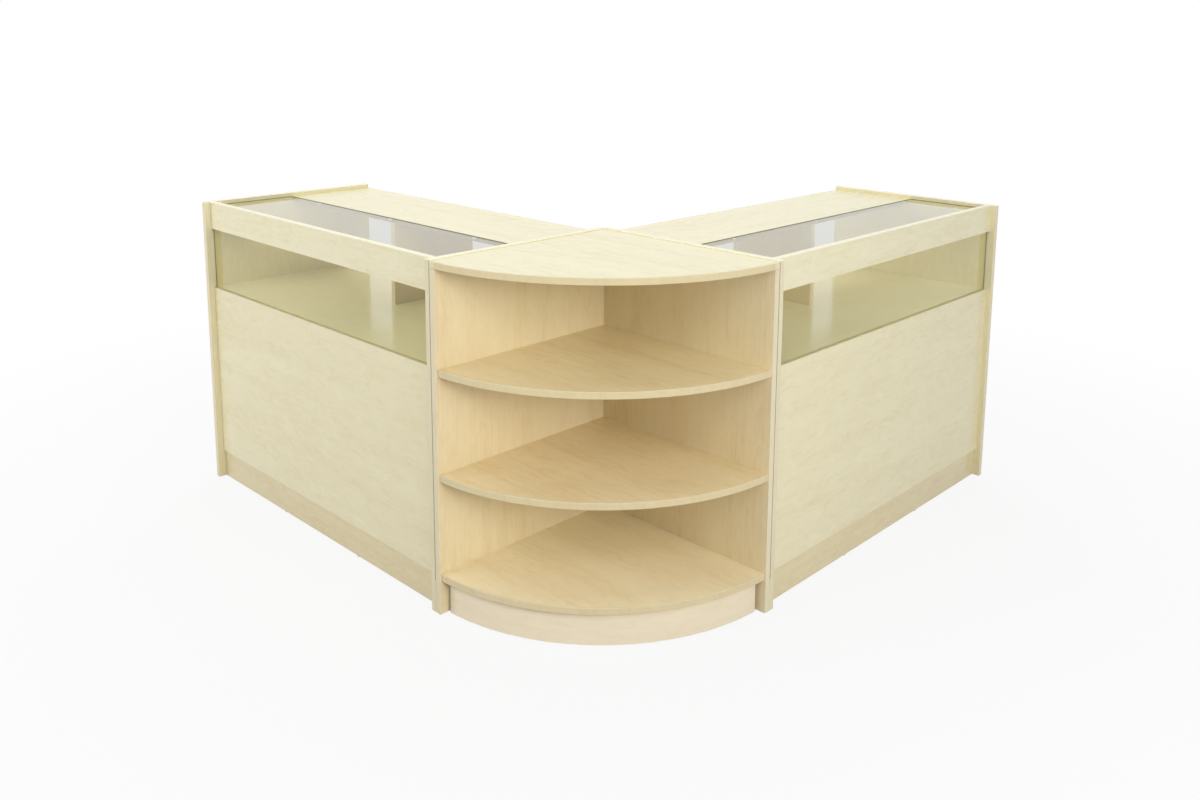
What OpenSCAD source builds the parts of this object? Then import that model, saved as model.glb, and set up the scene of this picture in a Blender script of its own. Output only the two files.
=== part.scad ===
// Corner shop counter set in faced board.
// Two part-glazed display counters stand at a right angle and an open quadrant
// display unit fills the outer corner between them. All boards are one thickness,
// joined by cams, cam bolts and dowels, so that each unit comes apart flat.
// Lengths are in millimetres.

/* [Boards] */
// Thickness of every flat board
board_t = 18; // [16:1:22]
// Thickness of the lipping on every board edge that shows
lip_t = 2; // [1:0.5:3]

/* [Counter] */
// Width of each counter over its two end panels
counter_w = 1200; // [900:50:1800]
// Depth of each counter from rear edge to front edge of the end panels
counter_d = 600; // [560:10:700]
// Height of each counter to the top of its end panels
counter_h = 920; // [880:5:1000]
// How far the end panels and fascia stand above the top glass and worktop
rim_h = 13; // [8:1:20]
// Height of the fascia above the front glass
fascia_h = 86; // [76:1:120]
// Height of the opening that the front glass fills
glass_open_h = 192; // [120:1:240]
// How far the fascia and front panel lie behind the front edges of the end panels
front_setback = 18; // [10:1:30]
// How far the plinth lies behind the front panel
plinth_setback = 6; // [0:1:8]
// Height of the plinths
plinth_h = 89; // [80:1:120]
// Depth of the solid worktop behind the top glass
worktop_d = 297; // [240:1:340]
// How far the display divider stops behind the front edge of the worktop
divider_setback = 2; // [0:1:30]
// How far the rear plinth lies behind the rear edge of the end panels
rear_plinth_setback = 40; // [20:1:80]

/* [Storage shelves] */
// Gap between the rear edge of a storage shelf and the rear edge of the counter
storage_shelf_rear = 40; // [20:1:100]
// Gap between the front edge of a storage shelf and the front panel
storage_shelf_front = 24; // [5:1:100]
// Gap at each end of a storage shelf
storage_shelf_gap = 1.5; // [0.5:0.5:3]
// Number of peg holes in each row
peg_hole_count = 5; // [3:2:9]
// Spacing of the peg holes
peg_pitch = 32; // [25:1:40]
// Distance from a shelf's front or rear edge to its pegs
peg_inset = 50; // [30:1:80]

/* [Glass] */
// Thickness of both panes
glass_t = 6; // [4:1:8]
// Depth of the groove in the front panel that the front glass stands in
lower_groove = 5; // [3:0.5:5]
// Depth of the groove in the fascia that the front glass is lifted into
upper_groove = 12; // [10:0.5:13]
// How far the front glass stays up in that groove when it is let down
upper_hold = 6; // [4:0.5:6]
// Gap at each end of the front glass
front_glass_gap = 2.5; // [1:0.5:4]
// Gap all round the top glass
top_glass_gap = 2; // [1:0.5:4]

/* [Quadrant] */
// How far the quadrant's top lies below the tops of the end panels beside it
quad_drop = 3; // [0:1:10]
// How far the quadrant shelves lie behind the edge of its top
quad_shelf_setback = 5; // [0:1:20]
// Height of the underside of the lower quadrant shelf
quad_lower_shelf_z = 358; // [300:1:420]
// Height of the underside of the upper quadrant shelf
quad_upper_shelf_z = 629; // [560:1:680]
// How far the curved plinth lies behind the edge of the top
quad_plinth_setback = 24; // [15:1:50]
// Thickness of the bent plywood of the curved plinth
quad_plinth_t = 9; // [6:1:15]
// Gap between each end of the curved plinth and the side beside it
quad_plinth_gap = 10; // [1:1:20]
// Number of blocks behind the curved plinth
quad_block_count = 3; // [2:1:4]
// Length of each of those blocks
quad_block_l = 70; // [50:1:100]

/* [Fixings] */
// Diameter of the cam housings
cam_d = 15; // [12:1:18]
// Distance from a board's end to the middle of its cams
cam_reach = 34; // [24:1:40]
// How far a cam goes past the axis of its bolt
cam_under = 3.5; // [3:0.5:4]
// Diameter of the cam bolts
bolt_d = 6; // [5:0.5:6.5]
// Depth of the cam bolts in the board that they screw into
bolt_grip = 11; // [8:1:12]
// Diameter of the dowels
dowel_d = 8; // [6:1:8]
// Depth of a dowel in a board's face
dowel_grip = 11; // [8:1:12]
// Depth of a dowel in a board's end
dowel_reach = 19; // [15:1:25]
// Distance from a cam to the dowel beside it
dowel_step = 32; // [25:1:40]
// Distance from a narrow board's cam to its dowel
narrow_dowel_step = 24; // [20:1:26]
// Distance from a board's edge to its nearest cam
cam_inset = 60; // [45:1:80]
// Diameter of the pin of a shelf peg
peg_d = 5; // [4:0.5:7]
// Depth of a shelf peg in the upright
peg_grip = 7; // [5:0.5:7.5]
// Diameter of the nail-on glides
glide_d = 16; // [14:1:16]
// Height of the glides
glide_h = 4; // [3:0.5:8]
// Diameter of the joining screws between the units
screw_d = 4; // [3.5:0.5:5]
// Length of the joining screws
screw_l = 30; // [25:1:32]

/* [Hidden] */
$fn = 48;

// Clearance all round a fixing in its hole, and at the end of the hole
fit_gap = 0.1;
end_gap = 0.5;
// Overshoot of a cut past the face that it starts from
cut = 1;
// Play of the front glass on each side in its grooves
groove_play = 0.25;
// Glue line behind a bent piece
glue_line = 0.3;
// Radius of the outer arrises of the lipping
lip_r = 0.75 * lip_t;

// Fixing details
cam_collar = 1;
slot_w = 2.2;
slot_l = 9;
slot_depth = 3;
bolt_shank_d = bolt_d - 1;
peg_tongue_l = 8;
peg_tongue_w = 12;
glide_pin_d = 2;
glide_pin_l = 14;
glide_inset = 40;
screw_head_d = 2 * screw_d;
screw_head_h = 2.4;

// Heights in a counter
top_z = counter_h - rim_h;
worktop_z = top_z - board_t;
glass_z = top_z - glass_t;
fascia_z = counter_h - fascia_h;
deck_top = fascia_z - glass_open_h;
deck_z = deck_top - board_t;
base_top = glide_h + plinth_h;
base_z = base_top - board_t;

// Depths in a counter, from its rear edge
front_v = counter_d - front_setback;
front_back_v = front_v - board_t;
plinth_v = front_v - plinth_setback - board_t;
foot_dowel_v = (front_back_v + plinth_v + board_t) / 2;
front_mid_v = front_back_v + board_t / 2;
divider_v = worktop_d - divider_setback;

// Joining screws, clear of the peg holes
screw_v = [counter_d / 4, counter_d * 3 / 4];
screw_z = [for (share = [0.2, 0.8]) base_top + share * (deck_z - base_top)];

// Widths in a counter, from its inner end
bay_w = (counter_w - 3 * board_t) / 2;
divider_u = board_t + bay_w;
sixth_u = [counter_w / 6, counter_w / 2, counter_w * 5 / 6];
quarter_u = [counter_w / 4, counter_w * 3 / 4];

// Storage shelf and its pegs
peg_mid_z = (base_top + deck_z) / 2;
storage_shelf_z = peg_mid_z + peg_d / 2;
storage_shelf_v = [storage_shelf_rear, front_back_v - storage_shelf_front];
peg_rows = [storage_shelf_v[0] + peg_inset, storage_shelf_v[1] - peg_inset];
// The four upright faces that carry pegs: the face, and the way its pegs point
peg_faces = [[board_t, 1], [divider_u, -1], [divider_u + board_t, 1], [counter_w - board_t, -1]];

// Quadrant, whose sides are as deep as the end panels beside them
quad_r = counter_d;
quad_side_h = counter_h - quad_drop - board_t;
quad_shelf_r = quad_r - quad_shelf_setback;
quad_plinth_r = quad_r - quad_plinth_setback;
quad_shelf_levels = [base_top, quad_lower_shelf_z, quad_upper_shelf_z];
quad_cam_along = [quad_r / 4, quad_r * 3 / 4];
quad_under = [quad_lower_shelf_z, quad_upper_shelf_z, quad_side_h];
quad_corner_cam_z = [for (i = [0 : 2]) (quad_shelf_levels[i] + board_t + quad_under[i]) / 2];
quad_block_r = quad_plinth_r - quad_plinth_t - glue_line;

// The inner corner of the set, which the counters and the quadrant share
corner = [(counter_w - counter_d) / 2, (counter_d - counter_w) / 2, 0];

// Colours
board_face = [0.93, 0.88, 0.73];
board_warm = [0.86, 0.79, 0.62];
plinth_tone = [0.78, 0.71, 0.55];
glass_tone = [0.72, 0.84, 0.80, 0.45];
steel_tone = [0.72, 0.73, 0.74];
zinc_tone = [0.62, 0.62, 0.60];
beech_tone = [0.82, 0.66, 0.45];
plastic_tone = [0.86, 0.86, 0.84];
lip_tone = [0.95, 0.91, 0.78];

// Joints
// A joint is [place, turn, end]. Its own X runs from the board that takes the thread or
// the short end of the dowel into the board that holds the cam, and its Z is the side on
// which the cam opens.
function end_turn(end, opening) =
    opening == "below" ? 180 : (opening == "rear") == (end == 0) ? 90 : -90;
function end_joint(end, v, z, opening) =
    [[end == 0 ? board_t : counter_w - board_t, v, z], [end_turn(end, opening), 0, end * 180], end];
function both_ends(places, opening) =
    [for (p = places) for (end = [0, 1]) end_joint(end, p[0], p[1], opening)];

worktop_mid = worktop_z + board_t / 2;
deck_mid = deck_z + board_t / 2;
base_mid = base_z + board_t / 2;
deck_dowel_drop = 1.5;
display_dowel_inset = 50;
storage_dowel_inset = 100;
plinth_mid_v = plinth_v + board_t / 2;
rear_plinth_mid_v = rear_plinth_setback + board_t / 2;
// The middle of the solid part of the fascia, above its groove
fascia_mid = (fascia_z + upper_groove + counter_h) / 2;
plinth_mid = glide_h + plinth_h / 2;
rear_plinth_mid = (glide_h + base_z) / 2;
deck_front_v = front_back_v - cam_inset;
base_front_v = plinth_v - cam_inset;
panel_low_z = base_top + cam_inset;
panel_high_z = deck_z - cam_inset;

worktop_cams = both_ends([[cam_inset, worktop_mid], [worktop_d - cam_inset, worktop_mid]], "below");
deck_cams = both_ends([[cam_inset, deck_mid], [deck_front_v, deck_mid]], "below");
base_cams = both_ends([[cam_inset, base_mid], [base_front_v, base_mid]], "below");
fascia_cams = both_ends([[front_mid_v, fascia_mid]], "rear");
panel_cams = both_ends([[front_mid_v, panel_low_z], [front_mid_v, panel_high_z]], "rear");
plinth_cams = both_ends([[plinth_mid_v, plinth_mid]], "rear");
rear_plinth_cams = both_ends([[rear_plinth_mid_v, rear_plinth_mid]], "front");
counter_cams = concat(worktop_cams, deck_cams, base_cams, fascia_cams, panel_cams,
    plinth_cams, rear_plinth_cams);

worktop_end_dowels = both_ends([[cam_inset + dowel_step, worktop_mid],
    [worktop_d - cam_inset - dowel_step, worktop_mid]], "below");
deck_end_dowels = both_ends([[cam_inset + dowel_step, deck_mid],
    [deck_front_v - dowel_step, deck_mid]], "below");
base_end_dowels = both_ends([[cam_inset + dowel_step, base_mid],
    [base_front_v - dowel_step, base_mid]], "below");
fascia_dowels = both_ends([[front_mid_v, fascia_mid - narrow_dowel_step]], "rear");
panel_end_dowels = both_ends([[front_mid_v, panel_low_z + dowel_step],
    [front_mid_v, panel_high_z - dowel_step]], "rear");
plinth_end_dowels = both_ends([[plinth_mid_v, plinth_mid - narrow_dowel_step]], "rear");
rear_plinth_end_dowels =
    both_ends([[rear_plinth_mid_v, rear_plinth_mid - narrow_dowel_step]], "front");
end_dowels = concat(worktop_end_dowels, deck_end_dowels, base_end_dowels, fascia_dowels,
    panel_end_dowels, plinth_end_dowels, rear_plinth_end_dowels);

// Dowels between the inner boards of a counter: X into the second board of each pair
to_rear = [0, 0, -90];
to_up = [0, -90, 0];
to_down = [0, 90, 0];
// These lie below the middle of the deck, clear of the groove for the glass
panel_deck_dowels = [for (u = sixth_u) [[u, front_back_v, deck_mid - deck_dowel_drop], to_rear]];
plinth_base_dowels = [for (u = sixth_u) [[u, plinth_v, base_mid], to_rear]];
plinth_panel_dowels = [for (u = quarter_u) [[u, foot_dowel_v, base_top], to_up]];
base_rear_plinth_dowels = [for (u = quarter_u) [[u, rear_plinth_mid_v, base_z], to_down]];
display_dowel_v = [display_dowel_inset, divider_v - display_dowel_inset];
storage_dowel_v = [storage_dowel_inset, front_back_v - storage_dowel_inset];
middle_u = counter_w / 2;
worktop_divider_dowels = [for (v = display_dowel_v) [[middle_u, v, worktop_z], to_down]];
deck_divider_dowels = [for (v = display_dowel_v) [[middle_u, v, deck_top], to_up]];
deck_storage_dowels = [for (v = storage_dowel_v) [[middle_u, v, deck_z], to_down]];
base_storage_dowels = [for (v = storage_dowel_v) [[middle_u, v, base_top], to_up]];
counter_dowels = concat(end_dowels, panel_deck_dowels, plinth_base_dowels,
    plinth_panel_dowels, base_rear_plinth_dowels, worktop_divider_dowels,
    deck_divider_dowels, deck_storage_dowels, base_storage_dowels);

// Joints of the quadrant, about its inner corner
shelf_to_left = [180, 0, 0];
shelf_to_right = [180, 0, -90];
top_to_left = [180, 90, 0];
top_to_right = [0, 90, 90];
side_to_side = [-90, 0, 0];
quad_left_shelf_cams = [for (z = quad_shelf_levels) for (a = quad_cam_along)
    [[board_t, -a, z + board_t / 2], shelf_to_left]];
quad_right_shelf_cams = [for (z = quad_shelf_levels) for (a = quad_cam_along)
    [[a, -board_t, z + board_t / 2], shelf_to_right]];
quad_left_top_cams = [for (a = quad_cam_along) [[board_t / 2, -a, quad_side_h], top_to_left]];
quad_right_top_cams = [for (a = quad_cam_along) [[a, -board_t / 2, quad_side_h], top_to_right]];
quad_corner_cams = [for (z = quad_corner_cam_z) [[board_t, -board_t / 2, z], side_to_side]];
quad_left_cams = concat(quad_left_shelf_cams, quad_left_top_cams, quad_corner_cams);
quad_right_cams = concat(quad_right_shelf_cams, quad_right_top_cams, quad_corner_cams);
quad_shelf_cams = concat(quad_left_shelf_cams, quad_right_shelf_cams);
quad_top_cams = concat(quad_left_top_cams, quad_right_top_cams);
quad_cams = concat(quad_shelf_cams, quad_top_cams, quad_corner_cams);

// The blocks behind the curved plinth stand at equal angles between the two sides.
quad_block_turns = [for (i = [1 : quad_block_count]) 90 * i / (quad_block_count + 1) - 90];
quad_block_dowels = [for (turn = quad_block_turns)
    [[(quad_block_r - quad_block_l / 2) * cos(turn), (quad_block_r - quad_block_l / 2) * sin(turn),
        base_top], to_down]];

function stepped(joints, by) = [for (j = joints) [j[0] + by, j[1]]];
quad_left_dowels = concat(stepped(quad_left_shelf_cams, [0, -dowel_step, 0]),
    stepped(quad_left_top_cams, [0, -dowel_step, 0]),
    stepped(quad_corner_cams, [0, 0, dowel_step]));
quad_right_dowels = concat(stepped(quad_right_shelf_cams, [dowel_step, 0, 0]),
    stepped(quad_right_top_cams, [dowel_step, 0, 0]),
    stepped(quad_corner_cams, [0, 0, dowel_step]));
quad_shelf_dowels = concat(stepped(quad_left_shelf_cams, [0, -dowel_step, 0]),
    stepped(quad_right_shelf_cams, [dowel_step, 0, 0]));
quad_top_dowels = concat(stepped(quad_left_top_cams, [0, -dowel_step, 0]),
    stepped(quad_right_top_cams, [dowel_step, 0, 0]));
quad_dowels = concat(quad_shelf_dowels, quad_top_dowels, quad_block_dowels,
    stepped(quad_corner_cams, [0, 0, dowel_step]));

// Placing
// A counter is drawn with X from its inner end, Y from its rear edge and Z up.
module on_left() {
    translate(corner) rotate([0, 0, 180]) children();
}

module on_right() {
    translate(corner) mirror([1, -1, 0]) children();
}

module on_corner() {
    translate(corner) children();
}

module at_joint(joint) {
    translate(joint[0]) rotate(joint[1]) children();
}

module along_x(from, to, d) {
    translate([from, 0, 0]) rotate([0, 90, 0]) cylinder(d = d, h = to - from);
}

// Fixings
module cam_bores(joints) {
    for (joint = joints) at_joint(joint) {
        along_x(-bolt_grip - end_gap, cam_reach, bolt_d + 2 * fit_gap);
        translate([cam_reach, 0, -cam_under - fit_gap])
            cylinder(d = cam_d + 2 * fit_gap, h = board_t / 2 + cam_under + fit_gap + cut);
    }
}

module cam() {
    cam_h = board_t / 2 + cam_under;
    translate([cam_reach, 0, -cam_under]) difference() {
        cylinder(d = cam_d, h = cam_h);
        // Mouth for the head of the bolt
        translate([0, 0, cam_under]) along_x(-cam_d, 0, bolt_d + 2 * fit_gap);
        translate([0, 0, cam_under]) sphere(d = bolt_d + 2 * fit_gap);
        // Crossed slots for the screwdriver
        for (turn = [0, 90]) rotate([0, 0, turn])
            translate([-slot_l / 2, -slot_w / 2, cam_h - slot_depth])
                cube([slot_l, slot_w, slot_depth + cut]);
    }
}

module cam_bolt() {
    neck_end = cam_reach - bolt_d / 2;
    along_x(-bolt_grip, cam_collar, bolt_d);
    along_x(cam_collar, neck_end, bolt_shank_d);
    along_x(neck_end - bolt_d / 2, cam_reach - fit_gap, bolt_d);
}

module dowel_bores(joints) {
    for (joint = joints) at_joint(joint)
        along_x(-dowel_grip - end_gap, dowel_reach + end_gap, dowel_d + 2 * fit_gap);
}

module dowels(joints) {
    color(beech_tone)
        for (joint = joints) at_joint(joint) along_x(-dowel_grip, dowel_reach, dowel_d);
}

module cams(joints) {
    color(zinc_tone) for (joint = joints) at_joint(joint) cam();
}

module cam_bolts(joints) {
    color(steel_tone) for (joint = joints) at_joint(joint) cam_bolt();
}

module glide() {
    cylinder(d = glide_d, h = glide_h);
    translate([0, 0, glide_h - cut]) cylinder(d = glide_pin_d, h = glide_pin_l + cut);
}

module glide_bore() {
    translate([0, 0, glide_h - cut])
        cylinder(d = glide_pin_d + 2 * fit_gap, h = glide_pin_l + end_gap + cut);
}

// Boards of a counter
module board(u, v, z) {
    translate([u[0], v[0], z[0]]) cube([u[1] - u[0], v[1] - v[0], z[1] - z[0]]);
}

function end_u(end) = end == 0 ? [0, board_t] : [counter_w - board_t, counter_w];
function peg_hole_z(i) = peg_mid_z + (i - (peg_hole_count - 1) / 2) * peg_pitch;
function at_end(joints, end) = [for (j = joints) if (j[2] == end) j];
clear_u = [board_t, counter_w - board_t];

// A peg is [place, turn about Z]: its X runs out of the board that it is pushed into.
function shelf_pegs_on(face) =
    [for (v = peg_rows) [[face[0], v, peg_mid_z], face[1] > 0 ? 0 : 180]];
glass_peg_z = glass_z - peg_d / 2;
glass_mid_v = (worktop_d + front_back_v) / 2;
worktop_pegs = [for (u = sixth_u) [[u, worktop_d, glass_peg_z], 90]];
fascia_pegs = [for (u = sixth_u) [[u, front_back_v, glass_peg_z], -90]];
inner_end_pegs = [[[board_t, glass_mid_v, glass_peg_z], 0]];
outer_end_pegs = [[[counter_w - board_t, glass_mid_v, glass_peg_z], 180]];

module peg_bore(peg) {
    translate(peg[0]) rotate([0, 0, peg[1]])
        along_x(-peg_grip - end_gap, cut, peg_d + 2 * fit_gap);
}

module peg_bores(pegs) {
    for (peg = pegs) peg_bore(peg);
}

// The row of holes that lets a shelf be put at another height
module peg_hole_rows(face) {
    for (peg = shelf_pegs_on(face)) for (i = [0 : peg_hole_count - 1])
        translate([0, 0, peg_hole_z(i) - peg_mid_z]) peg_bore(peg);
}

// Spade pegs: a round pin in the board and a flat tongue under what they carry
module pegs(places) {
    for (peg = places) translate(peg[0]) rotate([0, 0, peg[1]]) {
        along_x(-peg_grip, peg_tongue_l, peg_d);
        translate([0, -peg_tongue_w / 2, 0]) cube([peg_tongue_l, peg_tongue_w, peg_d / 2]);
    }
}

module joining_bores() {
    for (v = screw_v) for (z = screw_z) translate([board_t, v, z]) {
        along_x(-screw_l - end_gap, cut, screw_d + 2 * fit_gap);
        rotate([0, 90, 0]) translate([0, 0, -screw_head_h]) cylinder(
            d1 = screw_d + 2 * fit_gap, d2 = screw_head_d + 2 * fit_gap, h = screw_head_h);
    }
}

module end_panel(end) {
    color(board_face) difference() {
        board(end_u(end), [lip_t, counter_d - lip_t], [glide_h, counter_h - lip_t]);
        cam_bores(at_end(counter_cams, end));
        dowel_bores(at_end(end_dowels, end));
        peg_hole_rows(end == 0 ? peg_faces[0] : peg_faces[3]);
        peg_bores(end == 0 ? inner_end_pegs : outer_end_pegs);
        end_glide_places(end) glide_bore();
        if (end == 0) joining_bores();
    }
}

module fascia() {
    color(board_face) difference() {
        board(clear_u, [front_back_v, front_v], [fascia_z, counter_h - lip_t]);
        cam_bores(fascia_cams);
        dowel_bores(fascia_dowels);
        peg_bores(fascia_pegs);
        glass_groove(fascia_z - cut, fascia_z + upper_groove);
    }
}

module front_panel() {
    color(board_face) difference() {
        board(clear_u, [front_back_v, front_v], [base_top, deck_top]);
        cam_bores(panel_cams);
        dowel_bores(concat(panel_end_dowels, panel_deck_dowels, plinth_panel_dowels));
        glass_groove(deck_top - lower_groove, deck_top + cut);
    }
}

module plinth() {
    color(plinth_tone) difference() {
        board(clear_u, [plinth_v, plinth_v + board_t], [glide_h, base_top]);
        cam_bores(plinth_cams);
        dowel_bores(concat(plinth_end_dowels, plinth_base_dowels, plinth_panel_dowels));
        plinth_glide_places(plinth_mid_v) glide_bore();
    }
}

module rear_plinth() {
    color(plinth_tone) difference() {
        board(clear_u, [rear_plinth_setback, rear_plinth_setback + board_t], [glide_h, base_z]);
        cam_bores(rear_plinth_cams);
        dowel_bores(concat(rear_plinth_end_dowels, base_rear_plinth_dowels));
        plinth_glide_places(rear_plinth_mid_v) glide_bore();
    }
}

module base_board() {
    color(board_warm) difference() {
        board(clear_u, [lip_t, plinth_v], [base_z, base_top]);
        cam_bores(base_cams);
        dowel_bores(concat(base_end_dowels, plinth_base_dowels, base_rear_plinth_dowels,
            base_storage_dowels));
    }
}

module display_deck() {
    color(board_warm) difference() {
        board(clear_u, [lip_t, front_back_v], [deck_z, deck_top]);
        cam_bores(deck_cams);
        dowel_bores(concat(deck_end_dowels, panel_deck_dowels, deck_divider_dowels,
            deck_storage_dowels));
    }
}

module worktop() {
    color(board_face) difference() {
        board(clear_u, [lip_t, worktop_d], [worktop_z, top_z]);
        cam_bores(worktop_cams);
        dowel_bores(concat(worktop_end_dowels, worktop_divider_dowels));
        peg_bores(worktop_pegs);
    }
}

module display_divider() {
    color(board_warm) difference() {
        board([divider_u, divider_u + board_t], [lip_t, divider_v - lip_t], [deck_top, worktop_z]);
        dowel_bores(concat(worktop_divider_dowels, deck_divider_dowels));
    }
}

module storage_divider() {
    color(board_warm) difference() {
        board([divider_u, divider_u + board_t], [lip_t, front_back_v], [base_top, deck_z]);
        dowel_bores(concat(deck_storage_dowels, base_storage_dowels));
        peg_hole_rows(peg_faces[1]);
        peg_hole_rows(peg_faces[2]);
    }
}

function shelf_u(bay) = [board_t + bay * (bay_w + board_t) + storage_shelf_gap,
    (bay + 1) * (board_t + bay_w) - storage_shelf_gap];

module storage_shelf(bay) {
    color(board_warm)
        board(shelf_u(bay), [storage_shelf_v[0] + lip_t, storage_shelf_v[1] - lip_t],
            [storage_shelf_z, storage_shelf_z + board_t]);
}

module shelf_pegs() {
    color(steel_tone) for (face = peg_faces) pegs(shelf_pegs_on(face));
}

// Glass and what carries it
// The front glass stands in two grooves. It is lifted into the deep upper one to clear
// the lower one, and let down into that.
module glass_groove(from, to) {
    v = front_mid_v - glass_t / 2 - groove_play;
    board([board_t - cut, counter_w - board_t + cut], [v, v + glass_t + 2 * groove_play],
        [from, to]);
}

module front_glass() {
    color(glass_tone)
        board([board_t + front_glass_gap, counter_w - board_t - front_glass_gap],
            [front_mid_v - glass_t / 2, front_mid_v + glass_t / 2],
            [deck_top - lower_groove, fascia_z + upper_hold]);
}

module top_glass() {
    color(glass_tone)
        board([board_t + top_glass_gap, counter_w - board_t - top_glass_gap],
            [worktop_d + top_glass_gap, front_back_v - top_glass_gap], [glass_z, top_z]);
}

module glass_pegs() {
    color(plastic_tone)
        pegs(concat(worktop_pegs, fascia_pegs, inner_end_pegs, outer_end_pegs));
}

// Lipping
// A lipping is [place, turn, length]: X runs along the edge, Y out of the board and Z
// across it. A level one lies on a level board, and an upright one on a standing board.
function rear_lip(u, v, z) = [[u[1], v + lip_t, z], [0, 0, 180], u[1] - u[0]];
function front_lip(u, v, z) = [[u[0], v - lip_t, z], [0, 0, 0], u[1] - u[0]];
function rear_upright_lip(u, v, z) = [[u, v + lip_t, z[0]], [180, -90, 0], z[1] - z[0]];
function front_upright_lip(u, v, z) =
    [[u + board_t, v - lip_t, z[0]], [0, -90, 0], z[1] - z[0]];

end_lips = [for (end = [0, 1]) each [
    rear_upright_lip(end_u(end)[0], 0, [glide_h, counter_h]),
    front_upright_lip(end_u(end)[0], counter_d, [glide_h, counter_h]),
    [[end_u(end)[0], lip_t, counter_h - lip_t], [90, 0, 90], counter_d - 2 * lip_t]
]];
fascia_lip = [[board_t, front_v, counter_h - lip_t], [90, 0, 0], clear_u[1] - clear_u[0]];
level_lips = [for (z = [worktop_z, deck_z, base_z]) rear_lip(clear_u, 0, z)];
divider_lips = [
    rear_upright_lip(divider_u, 0, [deck_top, worktop_z]),
    front_upright_lip(divider_u, divider_v, [deck_top, worktop_z]),
    rear_upright_lip(divider_u, 0, [base_top, deck_z])
];
shelf_lips = [for (bay = [0, 1]) each [
    rear_lip(shelf_u(bay), storage_shelf_v[0], storage_shelf_z),
    front_lip(shelf_u(bay), storage_shelf_v[1], storage_shelf_z)
]];
counter_lips = concat(end_lips, [fascia_lip], level_lips, divider_lips, shelf_lips);

// X out of the board, Y across it
module lip_profile(facets) {
    square([lip_t - lip_r, board_t]);
    translate([0, lip_r]) square([lip_t, board_t - 2 * lip_r]);
    intersection() {
        square([lip_t, board_t]);
        for (y = [lip_r, board_t - lip_r])
            translate([lip_t - lip_r, y]) circle(r = lip_r, $fn = facets);
    }
}

// Each stops a hair short of the next, as separate strips do
module lippings(lips) {
    color(lip_tone) for (lip = lips) translate(lip[0]) rotate(lip[1]) translate([fit_gap, 0, 0])
        rotate([90, 0, 90]) linear_extrude(lip[2] - 2 * fit_gap) lip_profile(24);
}

// Glides under a counter
module end_glide_places(end) {
    for (v = [glide_inset, counter_d - glide_inset])
        translate([(end_u(end)[0] + end_u(end)[1]) / 2, v, 0]) children();
}

module plinth_glide_places(v) {
    for (u = [counter_w / 3, counter_w * 2 / 3]) translate([u, v, 0]) children();
}

module glides() {
    color(plastic_tone) {
        end_glide_places(0) glide();
        end_glide_places(1) glide();
        plinth_glide_places(plinth_mid_v) glide();
        plinth_glide_places(rear_plinth_mid_v) glide();
    }
}

// Countersunk screws from a storage bay through the inner end panel into the quadrant
module joining_screws() {
    color(steel_tone) for (v = screw_v) for (z = screw_z) translate([board_t, v, z]) {
        along_x(-screw_l, -screw_head_h, screw_d);
        rotate([0, 90, 0]) translate([0, 0, -screw_head_h])
            cylinder(d1 = screw_d, d2 = screw_head_d, h = screw_head_h);
    }
}

// Quadrant
// Drawn about its inner corner, with the two sides along +X and -Y.
module quarter(radius, inset, z, height) {
    intersection() {
        translate([0, 0, z]) cylinder(r = radius, h = height, $fn = 180);
        translate([inset, -radius, z]) cube([radius - inset, radius - inset, height]);
    }
}

module quadrant_top() {
    color(board_face) difference() {
        quarter(quad_r - lip_t - glue_line, 0, quad_side_h, board_t);
        cam_bores(quad_top_cams);
        dowel_bores(quad_top_dowels);
    }
}

module quadrant_left_side() {
    color(board_warm) difference() {
        translate([0, lip_t - quad_r, glide_h])
            cube([board_t, quad_r - lip_t, quad_side_h - glide_h]);
        cam_bores(quad_left_cams);
        dowel_bores(quad_left_dowels);
        rotate([0, 0, 180]) joining_bores();
        quad_left_glide_places() glide_bore();
    }
}

module quadrant_right_side() {
    color(board_warm) difference() {
        translate([board_t, -board_t, glide_h])
            cube([quad_r - lip_t - board_t, board_t, quad_side_h - glide_h]);
        cam_bores(quad_right_cams);
        dowel_bores(quad_right_dowels);
        mirror([1, -1, 0]) joining_bores();
        quad_right_glide_places() glide_bore();
    }
}

module quadrant_shelf(z) {
    color(board_warm) difference() {
        quarter(quad_shelf_r - lip_t - glue_line, board_t, z, board_t);
        dowel_bores(z == base_top ? quad_block_dowels : []);
        cam_bores([for (j = quad_shelf_cams) if (j[0][2] > z && j[0][2] < z + board_t) j]);
        dowel_bores([for (j = quad_shelf_dowels) if (j[0][2] > z && j[0][2] < z + board_t) j]);
    }
}

module bent_lip(radius, inset, z) {
    intersection() {
        translate([0, 0, z]) rotate_extrude($fn = 180)
            translate([radius - lip_t, 0]) lip_profile(12);
        translate([inset, -radius, z]) cube([radius - inset, radius - inset, board_t]);
    }
}

module quadrant_lippings() {
    lippings([
        rear_upright_lip(0, -quad_r, [glide_h, quad_side_h]),
        [[quad_r - lip_t, -board_t, glide_h], [0, -90, -90], quad_side_h - glide_h]
    ]);
    color(lip_tone) {
        bent_lip(quad_r, 0, quad_side_h);
        for (z = quad_shelf_levels) bent_lip(quad_shelf_r, board_t, z);
    }
}

module quadrant_plinth() {
    color(plinth_tone) difference() {
        quarter(quad_plinth_r, board_t + quad_plinth_gap, glide_h, plinth_h);
        translate([0, 0, glide_h - cut])
            cylinder(r = quad_plinth_r - quad_plinth_t, h = plinth_h + 2 * cut, $fn = 180);
    }
}

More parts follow.
